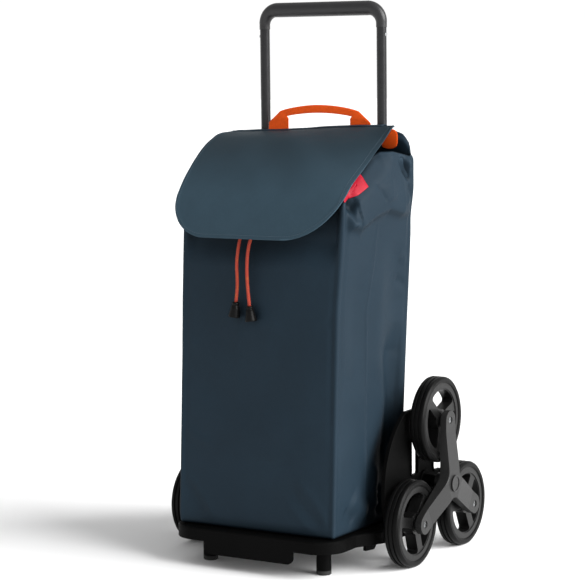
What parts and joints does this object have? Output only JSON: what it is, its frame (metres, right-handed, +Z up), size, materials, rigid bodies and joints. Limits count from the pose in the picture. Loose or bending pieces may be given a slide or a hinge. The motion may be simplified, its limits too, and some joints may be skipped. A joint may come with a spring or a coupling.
{
  "type": "folding shopping trolley",
  "caption": "Folding shopping trolley: fabric bag with a lid flap on a tubular back frame, a fold-up tray on feet, and stair-climbing wheel clusters on both sides.",
  "frame": {"origin": "on the floor under the centre of the overall box", "axes": "+Z up, -Y towards the bag's front, +Y towards the back frame, X along the axle"},
  "size_m": [0.54, 0.4708, 1.02],
  "materials": {
    "bag_fabric": "coated woven polyester, slate blue",
    "webbing": "orange woven webbing",
    "drawcord": "orange braided cord",
    "label_cloth": "plain crimson cloth label",
    "tube_paint": "black powder coat",
    "grip_plastic": "fine-textured black moulding",
    "black_plastic": "black moulded polypropylene",
    "rim_plastic": "black moulded wheel centre",
    "tyre_rubber": "soft black thermoplastic rubber",
    "rubber_foot": "black rubber",
    "steel": "zinc-plated steel",
    "board": "stiff dark plastic sheet"
  },
  "bodies": {
    "frame": {"handle_grip": "grip_plastic", "handle_rivets": "steel", "upright_left": "tube_paint", "upright_right": "tube_paint", "cross_bar_lower": "tube_paint", "cross_bar_upper": "tube_paint", "axle": "steel", "axle_retainers": "steel", "axle_spacer_left": "black_plastic", "axle_spacer_right": "black_plastic", "axle_bracket_left": "black_plastic", "axle_bracket_right": "black_plastic", "bracket_screws": "steel", "bag_front": "bag_fabric", "bag_back": "bag_fabric", "bag_side_left": "bag_fabric", "bag_side_right": "bag_fabric", "bag_bottom": "bag_fabric", "bag_neck": "bag_fabric", "drawstring_channel": "bag_fabric", "cord_eyelets": "steel", "cord_left": "drawcord", "cord_right": "drawcord", "cord_end_left": "grip_plastic", "cord_end_right": "grip_plastic", "carry_handle": "webbing", "hang_tab_left": "webbing", "hang_tab_right": "webbing", "bag_sleeve_left": "bag_fabric", "bag_sleeve_right": "bag_fabric", "side_label": "label_cloth"},
    "tray": {"tray": "black_plastic", "guard_left": "black_plastic", "guard_right": "black_plastic", "guard_screws": "steel", "pivot_bushes": "black_plastic", "foot_left": "black_plastic", "foot_right": "black_plastic", "foot_tips": "rubber_foot", "base_board": "board"},
    "lid": {"lid_flap": "bag_fabric"},
    "cluster_left": {"spider_left": "black_plastic", "spider_cap_left": "black_plastic", "wheel_bolts_left": "steel"},
    "wheel_left_top": {"tyre_left_top": "tyre_rubber", "rim_left_top": "rim_plastic"},
    "wheel_left_front": {"tyre_left_front": "tyre_rubber", "rim_left_front": "rim_plastic"},
    "wheel_left_rear": {"tyre_left_rear": "tyre_rubber", "rim_left_rear": "rim_plastic"},
    "cluster_right": {"spider_right": "black_plastic", "spider_cap_right": "black_plastic", "wheel_bolts_right": "steel"},
    "wheel_right_top": {"tyre_right_top": "tyre_rubber", "rim_right_top": "rim_plastic"},
    "wheel_right_front": {"tyre_right_front": "tyre_rubber", "rim_right_front": "rim_plastic"},
    "wheel_right_rear": {"tyre_right_rear": "tyre_rubber", "rim_right_rear": "rim_plastic"}
  },
  "joints": [
    {"name": "tray_fold", "type": "hinge", "parent": "frame", "child": "tray", "pos_m": [0, 0.0555, 0.13725], "axis": [1, 0, 0], "range_deg": [-90, 0], "deforming": ["bag_front", "bag_side_left", "bag_side_right", "bag_back", "bag_bottom"]},
    {"name": "lid_open", "type": "hinge", "parent": "frame", "child": "lid", "pos_m": [0, 0.022, 0.7955], "axis": [-1, 0, 0], "range_deg": [0, 95]},
    {"name": "cluster_spin_left", "type": "hinge", "parent": "frame", "child": "cluster_left", "pos_m": [-0.253, 0.0555, 0.13725], "axis": [1, 0, 0], "continuous": true},
    {"name": "wheel_spin_left_top", "type": "hinge", "parent": "cluster_left", "child": "wheel_left_top", "pos_m": [-0.2285, 0.0555, 0.25375], "axis": [1, 0, 0], "continuous": true},
    {"name": "wheel_spin_left_front", "type": "hinge", "parent": "cluster_left", "child": "wheel_left_front", "pos_m": [-0.2285, -0.04539, 0.079], "axis": [1, 0, 0], "continuous": true},
    {"name": "wheel_spin_left_rear", "type": "hinge", "parent": "cluster_left", "child": "wheel_left_rear", "pos_m": [-0.2285, 0.15639, 0.079], "axis": [1, 0, 0], "continuous": true},
    {"name": "cluster_spin_right", "type": "hinge", "parent": "frame", "child": "cluster_right", "pos_m": [0.253, 0.0555, 0.13725], "axis": [1, 0, 0], "continuous": true},
    {"name": "wheel_spin_right_top", "type": "hinge", "parent": "cluster_right", "child": "wheel_right_top", "pos_m": [0.2285, 0.0555, 0.25375], "axis": [1, 0, 0], "continuous": true},
    {"name": "wheel_spin_right_front", "type": "hinge", "parent": "cluster_right", "child": "wheel_right_front", "pos_m": [0.2285, -0.04539, 0.079], "axis": [1, 0, 0], "continuous": true},
    {"name": "wheel_spin_right_rear", "type": "hinge", "parent": "cluster_right", "child": "wheel_right_rear", "pos_m": [0.2285, 0.15639, 0.079], "axis": [1, 0, 0], "continuous": true}
  ]
}
